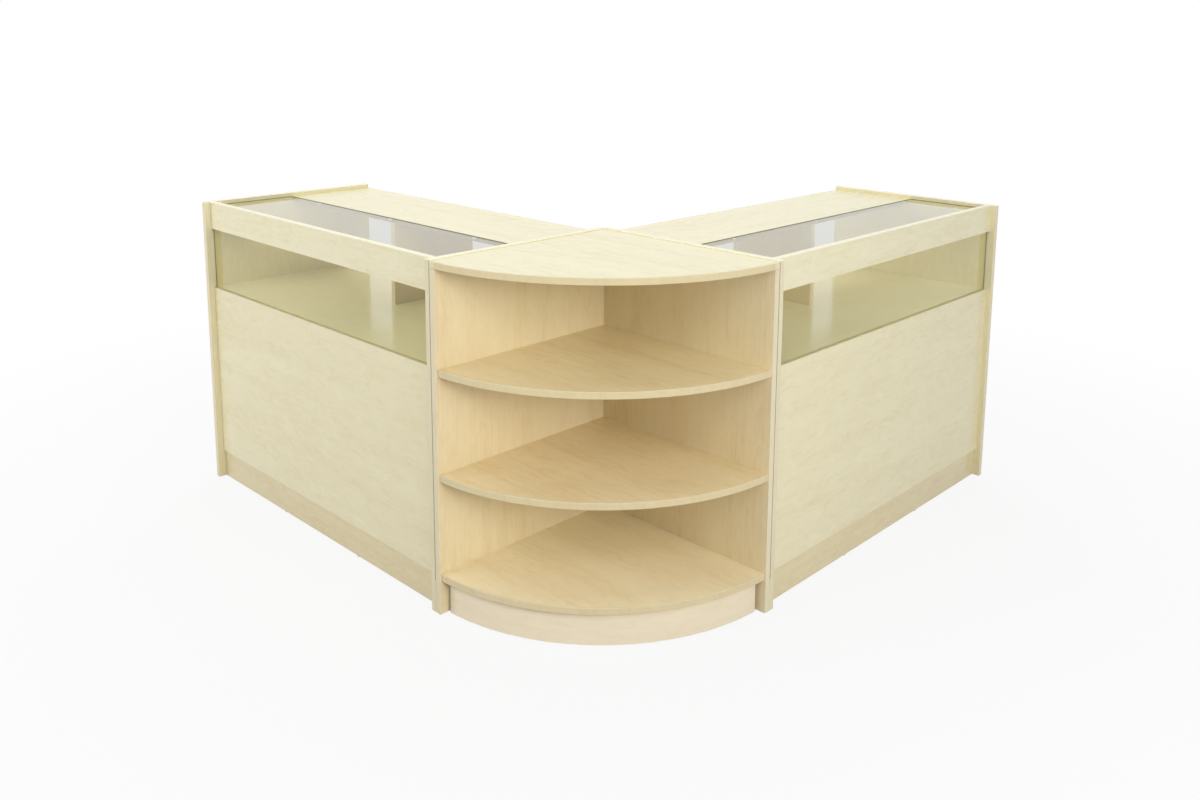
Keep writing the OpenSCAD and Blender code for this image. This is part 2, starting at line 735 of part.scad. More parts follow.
module quadrant_plinth_blocks() {
    color(plinth_tone) difference() {
        for (turn = quad_block_turns) rotate([0, 0, turn]) intersection() {
            translate([quad_block_r - quad_block_l, -board_t / 2, glide_h])
                cube([quad_block_l, board_t, plinth_h]);
            translate([0, 0, glide_h]) cylinder(r = quad_block_r, h = plinth_h, $fn = 180);
        }
        dowel_bores(quad_block_dowels);
        quad_block_glide_places() glide_bore();
    }
}

module quad_left_glide_places() {
    for (a = [glide_inset, quad_r - glide_inset]) translate([board_t / 2, -a, 0]) children();
}

module quad_right_glide_places() {
    for (a = [glide_inset, quad_r - glide_inset]) translate([a, -board_t / 2, 0]) children();
}

module quad_block_glide_places() {
    for (turn = quad_block_turns) rotate([0, 0, turn])
        translate([quad_block_r - quad_block_l / 2, 0, 0]) children();
}

module quadrant_glides() {
    color(plastic_tone) {
        quad_left_glide_places() glide();
        quad_right_glide_places() glide();
        quad_block_glide_places() glide();
    }
}

on_left() end_panel(0);  // left_inner_end_panel
on_left() end_panel(1);  // left_outer_end_panel
on_left() fascia();  // left_fascia
on_left() front_panel();  // left_front_panel
on_left() plinth();  // left_plinth
on_left() rear_plinth();  // left_rear_plinth
on_left() base_board();  // left_base_board
on_left() display_deck();  // left_display_deck
on_left() worktop();  // left_worktop
on_left() display_divider();  // left_display_divider
on_left() storage_divider();  // left_storage_divider
on_left() storage_shelf(0);  // left_storage_shelf_inner
on_left() storage_shelf(1);  // left_storage_shelf_outer
on_left() front_glass();  // left_front_glass
on_left() top_glass();  // left_top_glass
on_left() glass_pegs();  // left_glass_pegs
on_left() shelf_pegs();  // left_shelf_pegs
on_left() cams(counter_cams);  // left_cams
on_left() cam_bolts(counter_cams);  // left_cam_bolts
on_left() dowels(counter_dowels);  // left_dowels
on_left() glides();  // left_glides
on_left() joining_screws();  // left_joining_screws
on_left() lippings(counter_lips);  // left_lippings

on_right() end_panel(0);  // right_inner_end_panel
on_right() end_panel(1);  // right_outer_end_panel
on_right() fascia();  // right_fascia
on_right() front_panel();  // right_front_panel
on_right() plinth();  // right_plinth
on_right() rear_plinth();  // right_rear_plinth
on_right() base_board();  // right_base_board
on_right() display_deck();  // right_display_deck
on_right() worktop();  // right_worktop
on_right() display_divider();  // right_display_divider
on_right() storage_divider();  // right_storage_divider
on_right() storage_shelf(0);  // right_storage_shelf_inner
on_right() storage_shelf(1);  // right_storage_shelf_outer
on_right() front_glass();  // right_front_glass
on_right() top_glass();  // right_top_glass
on_right() glass_pegs();  // right_glass_pegs
on_right() shelf_pegs();  // right_shelf_pegs
on_right() cams(counter_cams);  // right_cams
on_right() cam_bolts(counter_cams);  // right_cam_bolts
on_right() dowels(counter_dowels);  // right_dowels
on_right() glides();  // right_glides
on_right() joining_screws();  // right_joining_screws
on_right() lippings(counter_lips);  // right_lippings

on_corner() quadrant_top();
on_corner() quadrant_left_side();
on_corner() quadrant_right_side();
on_corner() quadrant_shelf(quad_upper_shelf_z);  // quadrant_upper_shelf
on_corner() quadrant_shelf(quad_lower_shelf_z);  // quadrant_lower_shelf
on_corner() quadrant_shelf(base_top);  // quadrant_base_shelf
on_corner() quadrant_plinth();
on_corner() quadrant_plinth_blocks();
on_corner() cams(quad_cams);  // quadrant_cams
on_corner() cam_bolts(quad_cams);  // quadrant_cam_bolts
on_corner() dowels(quad_dowels);  // quadrant_dowels
on_corner() quadrant_glides();
on_corner() quadrant_lippings();
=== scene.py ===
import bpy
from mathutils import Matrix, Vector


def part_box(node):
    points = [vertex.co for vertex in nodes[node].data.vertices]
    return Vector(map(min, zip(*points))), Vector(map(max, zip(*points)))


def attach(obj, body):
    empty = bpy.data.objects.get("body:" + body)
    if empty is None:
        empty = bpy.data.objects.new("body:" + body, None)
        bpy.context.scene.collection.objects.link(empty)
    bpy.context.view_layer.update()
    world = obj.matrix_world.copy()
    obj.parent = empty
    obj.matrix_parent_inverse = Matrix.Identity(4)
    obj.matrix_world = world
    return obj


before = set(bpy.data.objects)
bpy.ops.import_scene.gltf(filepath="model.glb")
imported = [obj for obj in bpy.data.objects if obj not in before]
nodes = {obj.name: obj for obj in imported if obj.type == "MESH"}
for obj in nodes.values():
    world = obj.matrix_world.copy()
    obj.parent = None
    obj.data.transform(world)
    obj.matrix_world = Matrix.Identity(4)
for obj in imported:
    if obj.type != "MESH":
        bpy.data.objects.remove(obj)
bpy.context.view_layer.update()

import math

import bpy
import numpy as np
from mathutils import Matrix, Vector

scene = bpy.context.scene
print("frame loaded:", len(nodes), "nodes")


def addObject(name, data):
    made = bpy.data.objects.new(name, data)
    scene.collection.objects.link(made)
    return made


cameraView = {
    "place": (2.3732, -2.3976, 1.4703),
    "turn": 46.290,  # degrees from -X towards +Y
    "tilt": 9.338,  # degrees downwards
    "roll": 0.463,
    "picture": (1200, 800),  # pixels
    "focalLength": 1069.9,  # in the same pixels
    "axisPixel": (622.0, 205.0),  # where the lens axis meets the picture
    "sensorWidth": 36.0,
    "clip": (0.05, 60.0),
}


def makeCamera(view):
    turn, tilt, roll = (math.radians(view[key]) for key in ("turn", "tilt", "roll"))
    level = Vector((math.sin(turn), math.cos(turn), 0.0))
    outwards = Vector((-math.cos(turn), math.sin(turn), 0.0))
    ahead = math.cos(tilt) * outwards - math.sin(tilt) * Vector((0.0, 0.0, 1.0))
    above = level.cross(ahead)
    right = math.cos(roll) * level + math.sin(roll) * above
    up = math.cos(roll) * above - math.sin(roll) * level
    facing = Matrix((right, up, -ahead)).transposed().to_4x4()
    data = bpy.data.cameras.new("counterCamera")
    wide, tall = view["picture"]
    data.sensor_width = view["sensorWidth"]
    data.lens = data.sensor_width * view["focalLength"] / wide
    data.shift_x = (wide / 2 - view["axisPixel"][0]) / wide
    data.shift_y = (view["axisPixel"][1] - tall / 2) / wide
    data.clip_start, data.clip_end = view["clip"]
    scene.camera = addObject("counterCamera", data)
    scene.camera.matrix_world = Matrix.Translation(view["place"]) @ facing


makeCamera(cameraView)
print("camera placed")


# Nodes: an input that is given as a socket is linked, and any other is set.
def addNode(tree, kind, at, inputs=None, **settings):
    node = tree.nodes.new(kind)
    node.location = at
    for key, value in settings.items():
        setattr(node, key, value)
    for key, value in (inputs or {}).items():
        if isinstance(value, bpy.types.NodeSocket):
            tree.links.new(value, node.inputs[key])
        else:
            node.inputs[key].default_value = value
    return node


def calculate(tree, at, operation, *values, clamp=False):
    node = addNode(tree, "ShaderNodeMath", at, dict(enumerate(values)),
                   operation=operation, use_clamp=clamp)
    return node.outputs[0]


def mixTones(tree, at, share, first, second, blend="MIX"):
    node = addNode(tree, "ShaderNodeMix", at, {"Factor": share, "A": first, "B": second},
                   data_type="RGBA", blend_type=blend)
    return node.outputs["Result"]


def mixValues(tree, at, share, first, second):
    node = addNode(tree, "ShaderNodeMix", at, {"Factor": share, "A": first, "B": second})
    return node.outputs["Result"]


def rescale(tree, at, value, given, wanted, **settings):
    node = addNode(tree, "ShaderNodeMapRange", at,
                   {"Value": value, "From Min": given[0], "From Max": given[1],
                    "To Min": wanted[0], "To Max": wanted[1]}, **settings)
    return node.outputs["Result"]


def newMaterial(name):
    material = bpy.data.materials.new(name)
    material.use_nodes = True
    material.node_tree.nodes.clear()
    return material, material.node_tree


def showSurface(tree, surface):
    addNode(tree, "ShaderNodeOutputMaterial", (900, 0), {"Surface": surface})


def newGroup(name, inputs, outputs):
    kinds = {"vector": "NodeSocketVector", "value": "NodeSocketFloat",
             "colour": "NodeSocketColor"}
    group = bpy.data.node_groups.new(name, "ShaderNodeTree")
    for label, kind, value in inputs:
        made = group.interface.new_socket(label, in_out="INPUT", socket_type=kinds[kind])
        if value is not None:
            made.default_value = value
    for label, kind in outputs:
        group.interface.new_socket(label, in_out="OUTPUT", socket_type=kinds[kind])
    return group, addNode(group, "NodeGroupInput", (-1600, 0)).outputs


def grey(value):
    return (value, value, value, 1.0)


mapleLook = {
    # each layer of noise: its stretch, detail, roughness and distortion
    "Band": ((0.9, 11.0, 11.0), 3.0, 0.5, 0.8),
    "Fleck": ((15.0, 48.0, 48.0), 3.0, 0.55, 1.2),
    "Streak": ((3.0, 520.0, 520.0), 4.0, 0.6, 0.2),
    "Pore": ((30.0, 1500.0, 1500.0), 2.0, 0.5, 0.0),
    "poreNoise": (0.30, 0.42),  # all pore below the first, none above the second
    "contrast": 4.0,  # how fast the layers' sum moves the colour
}


# The figure of maple, for facing, lipping and plinths. Four layers of noise are drawn out
# along X: broad bands that wander, soft flecks a few centimetres long, hair streaks and
# pores. The sum of the first three moves the colour from base towards light or dark.
def makeMapleFigure(look):
    group, given = newGroup(
        "mapleFigure",
        [("Along grain", "vector", None), ("Band", "value", 0.4), ("Fleck", "value", 0.4),
         ("Streak", "value", 0.4), ("Pore", "value", 0.2), ("Light", "colour", grey(0.8)),
         ("Base", "colour", grey(0.7)), ("Dark", "colour", grey(0.6))],
        [("Colour", "colour"), ("Relief", "value")])

    def layer(name, at):
        stretch, detail, roughness, distortion = look[name]
        drawn = addNode(group, "ShaderNodeMapping", (-1300, at),
                        {"Vector": given["Along grain"], "Scale": stretch})
        noise = addNode(group, "ShaderNodeTexNoise", (-1050, at),
                        {"Vector": drawn.outputs["Vector"], "Scale": 1.0, "Detail": detail,
                         "Roughness": roughness, "Distortion": distortion})
        return noise.outputs["Fac"]

    def weigh(name, at):
        # noise lies about 0.5: this puts it about 0 and gives it its weight
        centred = calculate(group, (-750, at), "SUBTRACT", layer(name, at), 0.5)
        return calculate(group, (-550, at), "MULTIPLY", centred, given[name])

    band, fleck, streak = weigh("Band", 600), weigh("Fleck", 250), weigh("Streak", -100)
    pores = rescale(group, (-750, -450), layer("Pore", -450), look["poreNoise"], (1.0, 0.0))
    pores = calculate(group, (-350, -450), "MULTIPLY", pores, given["Pore"], clamp=True)
    total = calculate(group, (-350, 450), "ADD", band, fleck)
    total = calculate(group, (-150, 300), "ADD", total, streak)
    lighter = calculate(group, (50, 450), "MULTIPLY", total, look["contrast"], clamp=True)
    darker = calculate(group, (50, 200), "MULTIPLY", total, -look["contrast"], clamp=True)
    tone = mixTones(group, (300, 400), lighter, given["Base"], given["Light"])
    tone = mixTones(group, (500, 250), darker, tone, given["Dark"])
    tone = mixTones(group, (800, 100), pores, tone, given["Dark"])
    relief = calculate(group, (800, -200), "SUBTRACT", streak, pores)
    addNode(group, "NodeGroupOutput", (1200, 0), {"Colour": tone, "Relief": relief})
    return group


coreLook = {
    "chipScale": 420.0,  # chips per metre
    "cutEdge": 0.6,  # a normal with less than this along the thickness is a cut edge's
}


# The chipboard core, on cut edges and in bores. Cells of a Voronoi pattern are chips of
# three browns. The mask is 1 where a face looks away from the board's thickness: the size
# of its normal's part along that axis is small.
def makeChipboardCore(look):
    group, given = newGroup(
        "chipboardCore",
        [("Place", "vector", None), ("Facing", "vector", None),
         ("Thickness axis", "vector", (0.0, 0.0, 1.0)),
         ("Chip scale", "value", look["chipScale"]),
         ("Light", "colour", grey(0.5)), ("Dark", "colour", grey(0.2))],
        [("Colour", "colour"), ("Mask", "value"), ("Relief", "value")])
    chips = addNode(group, "ShaderNodeTexVoronoi", (-1000, 200),
                    {"Vector": given["Place"], "Scale": given["Chip scale"],
                     "Randomness": 1.0}).outputs
    share = addNode(group, "ShaderNodeSeparateColor", (-700, 200),
                    {"Color": chips["Color"]}).outputs["Red"]
    along = addNode(group, "ShaderNodeVectorMath", (-1000, -200),
                    {0: given["Facing"], 1: given["Thickness axis"]},
                    operation="DOT_PRODUCT").outputs["Value"]
    size = calculate(group, (-700, -200), "ABSOLUTE", along)
    mask = calculate(group, (-400, -200), "LESS_THAN", size, look["cutEdge"])
    tone = mixTones(group, (-300, 200), share, given["Light"], given["Dark"])
    addNode(group, "NodeGroupOutput", (1200, 0),
            {"Colour": tone, "Mask": mask, "Relief": chips["Distance"]})
    return group


mapleFigure = makeMapleFigure(mapleLook)
chipboardCore = makeChipboardCore(coreLook)

facing = {
    "light": (0.830, 0.775, 0.545, 1.0),
    "base": (0.770, 0.705, 0.465, 1.0),
    "dark": (0.670, 0.585, 0.345, 1.0),
    "band": 0.30, "fleck": 0.38, "streak": 0.24, "pore": 0.12,  # weights of the layers
    "glossRelief": (0.1, -0.3),  # the relief that has the first and the last roughness
    "roughness": (0.22, 0.30),
    "bump": 0.06,
    "bumpDepth": 0.0005,
    "coreLight": (0.46, 0.36, 0.20, 1.0),
    "coreDark": (0.27, 0.20, 0.10, 1.0),
    "coreRoughness": 0.85,
}
# Copies of one facing, with painted light and shade: the tops are painted paler for the light
# from above, and the fascias are paler. The quadrant's walls are streakier, and its walls and
# shelves are painted warmer for the warm shade inside it. The deck behind the glass is the
# glossiest, and painted paler for the light that reaches it through the panes.
topFacingPaintedLight = {
    **facing,
    "light": (0.840, 0.795, 0.560, 1.0),
    "base": (0.790, 0.735, 0.480, 1.0),
}
fasciaFacing = {
    **facing,
    "light": (0.845, 0.800, 0.580, 1.0),
    "base": (0.795, 0.738, 0.510, 1.0),
}
# the front panels' upper edge, beside the pane, is lipped: a pale tone stands for its core
frontFacing = {
    **facing,
    "coreLight": (0.700, 0.655, 0.450, 1.0),
    "coreDark": (0.620, 0.570, 0.370, 1.0),
}
# painted light: the deck's tones are paler than the facing, for the light through the panes
deckFacingPaintedLight = {
    **facing,
    "light": (0.955, 0.905, 0.660, 1.0),
    "base": (0.925, 0.865, 0.595, 1.0),
    "dark": (0.850, 0.780, 0.500, 1.0),
    "roughness": (0.12, 0.18),
    "bump": 0.02,
}
endFacing = {
    **facing,
    "light": (0.835, 0.775, 0.530, 1.0),
    "base": (0.795, 0.720, 0.465, 1.0),
    "dark": (0.695, 0.605, 0.360, 1.0),
}
# painted shade: the dividers are painted darker and warmer, for the shade under the worktop
dividerFacingPaintedShade = {
    **facing,
    "light": (0.700, 0.600, 0.350, 1.0),
    "base": (0.650, 0.540, 0.290, 1.0),
    "dark": (0.550, 0.430, 0.210, 1.0),
}
# painted shade: the plinths are painted darker, for the shade under the boards above
plinthFacingPaintedShade = {
    **facing,
    "light": (0.780, 0.690, 0.450, 1.0),
    "base": (0.722, 0.622, 0.380, 1.0),
    "dark": (0.630, 0.515, 0.285, 1.0),
}
# painted shade: warmer tones for the shade inside the quadrant
wallFacingPaintedShade = {
    **facing,
    "light": (0.850, 0.740, 0.505, 1.0),
    "base": (0.815, 0.690, 0.435, 1.0),
    "dark": (0.720, 0.563, 0.315, 1.0),
    "band": 0.45, "fleck": 0.34, "streak": 0.42,
}
# painted shade: warmer tones for the shade under each level of the quadrant
shelfFacingPaintedShade = {
    **facing,
    "light": (0.870, 0.750, 0.500, 1.0),
    "base": (0.830, 0.690, 0.420, 1.0),
    "dark": (0.720, 0.550, 0.290, 1.0),
    "band": 0.40, "streak": 0.34,
}
# painted light: the base shelf is painted paler, for the light that reaches the lowest level
baseShelfFacingPaintedLight = {
    **shelfFacingPaintedShade,
    "light": (0.930, 0.830, 0.620, 1.0),
    "base": (0.900, 0.785, 0.515, 1.0),
    "dark": (0.800, 0.650, 0.380, 1.0),
}

# turns that bring a board's grain on to the X of its figure
grainTurns = {
    "x": (0.0, 0.0, 0.0),
    "y": (0.0, 0.0, -math.pi / 2),
    "z": (0.0, math.pi / 2, 0.0),
}


def turnGrain(tree, place, grain):
    turned = addNode(tree, "ShaderNodeMapping", (-900, 100),
                     {"Vector": place["Object"], "Rotation": grainTurns[grain]})
    return turned.outputs["Vector"]


def placeFigure(tree, alongGrain, tones):
    labels = ("Band", "Fleck", "Streak", "Pore", "Light", "Base", "Dark")
    figure = addNode(tree, "ShaderNodeGroup", (-650, 100),
                     {"Along grain": alongGrain,
                      **{label: tones[label.lower()] for label in labels}},
                     node_tree=mapleFigure).outputs
    roughness = rescale(tree, (-50, -100), figure["Relief"],
                        tones["glossRelief"], tones["roughness"])
    return figure["Colour"], figure["Relief"], roughness


def showWood(tree, colour, relief, roughness, tones):
    bump = addNode(tree, "ShaderNodeBump", (-50, -450),
                   {"Height": relief, "Strength": tones["bump"],
                    "Distance": tones["bumpDepth"]})
    shader = addNode(tree, "ShaderNodeBsdfPrincipled", (400, 0),
                     {"Base Color": colour, "Roughness": roughness,
                      "Normal": bump.outputs["Normal"]})
    showSurface(tree, shader.outputs["BSDF"])


def makeBoard(name, grain, thickness, tones):
    material, tree = newMaterial(name)
    place = addNode(tree, "ShaderNodeTexCoord", (-1100, 0)).outputs
    colour, relief, roughness = placeFigure(tree, turnGrain(tree, place, grain), tones)
    core = addNode(tree, "ShaderNodeGroup", (-650, -300),
                   {"Place": place["Object"], "Facing": place["Normal"],
                    "Thickness axis": tuple(float(axis == thickness) for axis in "xyz"),
                    "Light": tones["coreLight"], "Dark": tones["coreDark"]},
                   node_tree=chipboardCore).outputs
    colour = mixTones(tree, (-300, 100), core["Mask"], colour, core["Colour"])
    relief = mixValues(tree, (-300, -400), core["Mask"], relief, core["Relief"])
    roughness = mixValues(tree, (150, -150), core["Mask"], roughness, tones["coreRoughness"])
    showWood(tree, colour, relief, roughness, tones)
    return material


# painted light: the bent plinth is painted paler and bluer, for the light off the floor
bentFacingPaintedFloorLight = {
    **facing,
    "light": (0.865, 0.770, 0.600, 1.0),
    "base": (0.823, 0.718, 0.528, 1.0),
    "dark": (0.755, 0.640, 0.445, 1.0),
    "curveMiddle": (0.3, -0.3, 0.0),  # the axis that the quadrant's plinth is bent round
    "curveRadius": 0.55,
}


# The grain of the bent plinth runs round its curve: the figure's X is the angle about the
# curve's axis times the radius, and its Z is the height. The plywood shows no core.
def makeBent(name, tones):
    material, tree = newMaterial(name)
    place = addNode(tree, "ShaderNodeTexCoord", (-1900, 0)).outputs
    fromAxis = addNode(tree, "ShaderNodeVectorMath", (-1700, 300),
                       {0: place["Object"], 1: tones["curveMiddle"]},
                       operation="SUBTRACT").outputs["Vector"]
    parts = addNode(tree, "ShaderNodeSeparateXYZ", (-1500, 300), {"Vector": fromAxis}).outputs
    angle = calculate(tree, (-1300, 400), "ARCTAN2", parts["Y"], parts["X"])
    arc = calculate(tree, (-1100, 400), "MULTIPLY", angle, tones["curveRadius"])
    unrolled = addNode(tree, "ShaderNodeCombineXYZ", (-900, 300), {"X": arc, "Z": parts["Z"]})
    showWood(tree, *placeFigure(tree, unrolled.outputs["Vector"], tones), tones)
    return material


lipping = {
    **facing,
    "light": (0.780, 0.705, 0.500, 1.0),
    "base": (0.733, 0.650, 0.445, 1.0),
    "dark": (0.634, 0.540, 0.340, 1.0),
    "band": 0.2, "fleck": 0.3, "streak": 0.15, "pore": 0.0,
    "bump": 0.02,
    # painted light: the top edges are given the pale tone of the lit tops
    "rimPaintedLight": (0.850, 0.810, 0.590, 1.0),
    "rimHeight": 0.9175,  # above this lie only the top edges of the counters
    # painted shade on the curved strips, on all but their upper side
    "curvedPaintedShade": (0.920, 0.873, 0.765, 1.0),
    "curvedFrom": (0.3185, -0.3185),  # curved edges lie past this in X and before it in Y
    "upFrom": 0.7,  # a normal with more than this in Z is an upper side's
}


# Painted light and shade: the counters' top edges are painted as pale as the lit tops. On the
# quadrant the strips along the curve are painted darker and warmer, as shade, apart from their
# upper side, which stays lit from above.
def makeLipping(name, tones):
    material, tree = newMaterial(name)
    place = addNode(tree, "ShaderNodeTexCoord", (-1100, 0)).outputs
    colour, relief, roughness = placeFigure(tree, turnGrain(tree, place, "z"), tones)
    at = addNode(tree, "ShaderNodeSeparateXYZ", (-900, 600),
                 {"Vector": place["Object"]}).outputs
    look = addNode(tree, "ShaderNodeSeparateXYZ", (-900, 400),
                   {"Vector": place["Normal"]}).outputs
    curvedX, curvedY = tones["curvedFrom"]
    rim = calculate(tree, (-600, 700), "GREATER_THAN", at["Z"], tones["rimHeight"])
    pastX = calculate(tree, (-600, 550), "GREATER_THAN", at["X"], curvedX)
    beforeY = calculate(tree, (-600, 400), "LESS_THAN", at["Y"], curvedY)
    notUp = calculate(tree, (-600, 250), "LESS_THAN", look["Z"], tones["upFrom"])
    curved = calculate(tree, (-400, 500), "MULTIPLY", pastX, beforeY)
    curved = calculate(tree, (-250, 400), "MULTIPLY", curved, notUp)
    colour = mixTones(tree, (-200, 150), rim, colour, tones["rimPaintedLight"])
    colour = mixTones(tree, (50, 250), curved, colour, tones["curvedPaintedShade"], "MULTIPLY")
    showWood(tree, colour, relief, roughness, tones)
    return material


glass = {
    "tint": (0.985, 0.990, 0.905, 1.0),
    "roughness": 0.0,
    "refraction": 1.50,
    "shine": (0.40, 0.40, 0.40, 1.0),  # tint of what the panes mirror when seen square on
    "lampTint": (1.0, 0.99, 0.87, 1.0),  # what a pane lets through from the lamps
}


def makeGlass(name, look):
    material, tree = newMaterial(name)
    pane = addNode(tree, "ShaderNodeBsdfPrincipled", (200, 0),
                   {"Base Color": look["tint"], "Roughness": look["roughness"],
                    "IOR": look["refraction"], "Transmission Weight": 1.0,
                    "Specular Tint": look["shine"]})
    clear = addNode(tree, "ShaderNodeBsdfTransparent", (200, -500), {"Color": look["lampTint"]})
    ray = addNode(tree, "ShaderNodeLightPath", (200, 400))
    mix = addNode(tree, "ShaderNodeMixShader", (600, 0),
                  {"Fac": ray.outputs["Is Shadow Ray"], 1: pane.outputs["BSDF"],
                   2: clear.outputs["BSDF"]})
    showSurface(tree, mix.outputs["Shader"])
    return material


# Small fittings and trim: low and high tone, scale of the noise per metre between them,
# low and high roughness, metallic, bump.
speckledFinishes = {
    # ground glass edges, and the painted shadow strip in the gap round the top panes
    "groundGlassAndGapShade": ((0.15, 0.16, 0.06, 1.0), (0.28, 0.29, 0.13, 1.0),
                    500.0, (0.65, 0.85), 0.0, 0.4),
    "zincSteel": ((0.56, 0.57, 0.58, 1.0), (0.68, 0.69, 0.70, 1.0),
                  900.0, (0.26, 0.42), 1.0, 0.0),
    "zincCasting": ((0.42, 0.42, 0.41, 1.0), (0.55, 0.55, 0.53, 1.0),
                    1200.0, (0.38, 0.56), 1.0, 0.2),
    "beech": ((0.62, 0.42, 0.24, 1.0), (0.74, 0.54, 0.33, 1.0),
              240.0, (0.55, 0.75), 0.0, 0.3),
    "greyPlastic": ((0.62, 0.62, 0.60, 1.0), (0.70, 0.70, 0.68, 1.0),
                    300.0, (0.42, 0.55), 0.0, 0.1),
    "clearPlastic": ((0.74, 0.76, 0.72, 1.0), (0.80, 0.82, 0.78, 1.0),
                     400.0, (0.18, 0.30), 0.0, 0.0),
    # painted shadow for the seam where the quadrant meets a counter
    "jointShade": ((0.16, 0.14, 0.07, 1.0), (0.24, 0.20, 0.10, 1.0),
                   300.0, (0.70, 0.80), 0.0, 0.0),
}
speckle = {"detail": 5.0, "bumpDepth": 0.0003}


def makeSpeckled(name, low, high, scale, roughness, metallic, bump):
    material, tree = newMaterial(name)
    place = addNode(tree, "ShaderNodeTexCoord", (-900, 0))
    noise = addNode(tree, "ShaderNodeTexNoise", (-700, 0),
                    {"Vector": place.outputs["Object"], "Scale": scale,
                     "Detail": speckle["detail"]}).outputs["Fac"]
    bumped = addNode(tree, "ShaderNodeBump", (-300, -400),
                     {"Height": noise, "Strength": bump, "Distance": speckle["bumpDepth"]})
    shader = addNode(tree, "ShaderNodeBsdfPrincipled", (200, 0),
                     {"Base Color": mixTones(tree, (-300, 100), noise, low, high),
                      "Roughness": rescale(tree, (-300, -150), noise, (0.0, 1.0), roughness),
                      "Metallic": metallic, "Normal": bumped.outputs["Normal"]})
    showSurface(tree, shader.outputs["BSDF"])
    return material


speckled = {name: makeSpeckled(name, *row) for name, row in speckledFinishes.items()}
print("shared materials made")


# how each board's grain and thickness lie on the left counter; the right one swaps X and Y
counterBoards = {
    "end_panel": ("z", "x", endFacing),
    "divider": ("z", "x", dividerFacingPaintedShade),
    "fascia": ("x", "y", fasciaFacing),
    "front_panel": ("x", "y", frontFacing),
    "plinth": ("x", "y", plinthFacingPaintedShade),
    "base_board": ("x", "z", facing),
    "display_deck": ("x", "z", deckFacingPaintedLight),
    "worktop": ("x", "z", topFacingPaintedLight),
    "shelf_inner": ("x", "z", facing),
    "shelf_outer": ("x", "z", facing),
}
quadrantBoards = {
    "quadrant_top": ("x", "z", topFacingPaintedLight),
    "quadrant_left_side": ("z", "x", wallFacingPaintedShade),
    "quadrant_right_side": ("z", "y", wallFacingPaintedShade),
    "quadrant_upper_shelf": ("x", "z", shelfFacingPaintedShade),
    "quadrant_lower_shelf": ("x", "z", shelfFacingPaintedShade),
    "quadrant_base_shelf": ("x", "z", baseShelfFacingPaintedLight),
    "quadrant_plinth_blocks": ("z", "y", plinthFacingPaintedShade),
}
fittings = {
    "_glass": makeGlass("clearGlass", glass),
    "glass_pegs": speckled["clearPlastic"],
    "shelf_pegs": speckled["zincSteel"],
    "_cam_bolts": speckled["zincSteel"],
    "_screws": speckled["zincSteel"],
    "_cams": speckled["zincCasting"],
    "_dowels": speckled["beech"],
    "_glides": speckled["greyPlastic"],
}
swapped = {"x": "y", "y": "x", "z": "z"}


def finishOf(name):
    for ending, material in fittings.items():
        if name.endswith(ending):
            return material
    if name.endswith("_lippings"):
        return makeLipping("edge_" + name, lipping)
    if name == "quadrant_plinth":
        return makeBent("bentPlinth", bentFacingPaintedFloorLight)
    if name in quadrantBoards:
        return makeBoard("maple_" + name, *quadrantBoards[name])
    grain, thickness, tones = next(
        row for ending, row in counterBoards.items() if name.endswith(ending))
    if name.startswith("right"):
        grain, thickness = swapped[grain], swapped[thickness]
    return makeBoard("maple_" + name, grain, thickness, tones)


for name in sorted(nodes):
    mesh = nodes[name].data
    mesh.materials.clear()
    mesh.materials.append(finishOf(name))
print("CAD nodes dressed")


# thin trim, in metres
trim = {
    "edgeInset": 0.0002,  # ground edge, inside the pane
    "edgeSkin": 0.0001,
    "gapShadeOut": 0.0018,  # painted shadow: a dark strip in the gap round the top pane, where there is only shade
    "gapShadeWidth": 0.0016,
    "gapShadeProud": 0.0010,
    "jointWidth": 0.0016,  # painted shadow line in the seam where the quadrant meets a counter
    "jointProud": 0.00015,
    "jointDepth": 0.0005,
    "jointHeights": (0.092, 0.9168),
}


def addTrim(name, points, faces, material):
    mesh = bpy.data.meshes.new(name)
    mesh.from_pydata(points.reshape(-1, 3).tolist(), [], faces.tolist())
    mesh.materials.append(material)
    piece = addObject(name, mesh)
    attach(piece, "root")


# A band round a pane. The path is the pane's outline in its own plane, moved inwards, and
# the profile is a slim rectangle: outer and inner, face and face.
def makeBand(name, pane, slim, inset, width, across):
    low, high = (np.array(corner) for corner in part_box(pane))
    first, second = (axis for axis in range(3) if axis != slim)
    depth = np.array([inset, inset, inset + width, inset + width])
    start, end = low + depth[:, None], high - depth[:, None]
    points = np.zeros((4, 4, 3))  # corner of the pane, corner of the profile
    points[:, :, first] = np.stack([start, end, end, start])[:, :, first]
    points[:, :, second] = np.stack([start, start, end, end])[:, :, second]
    points[:, :, slim] = np.array([low[slim] + across[0], high[slim] + across[1],
                                   high[slim] + across[1], low[slim] + across[0]])
    i, j = (part.ravel() for part in np.meshgrid(np.arange(4), np.arange(4), indexing="ij"))
    nextI, nextJ = (i + 1) % 4, (j + 1) % 4
    faces = np.stack([i * 4 + j, nextI * 4 + j, nextI * 4 + nextJ, i * 4 + nextJ], axis=1)
    if slim == 1:
        faces = faces[:, ::-1]  # the other hand, so that the band faces outwards
    addTrim(name, points, faces, speckled["groundGlassAndGapShade"])


# A slim upright bar: the eight corners are all pairings of its low and high X, Y and Z.
def makeBar(name, low, high):
    corners = np.stack(np.meshgrid(*zip(low, high), indexing="ij"), axis=-1)
    faces = np.array([(0, 1, 3, 2), (4, 6, 7, 5), (0, 4, 5, 1),
                      (2, 3, 7, 6), (0, 2, 6, 4), (1, 5, 7, 3)])
    addTrim(name, corners, faces, speckled["jointShade"])


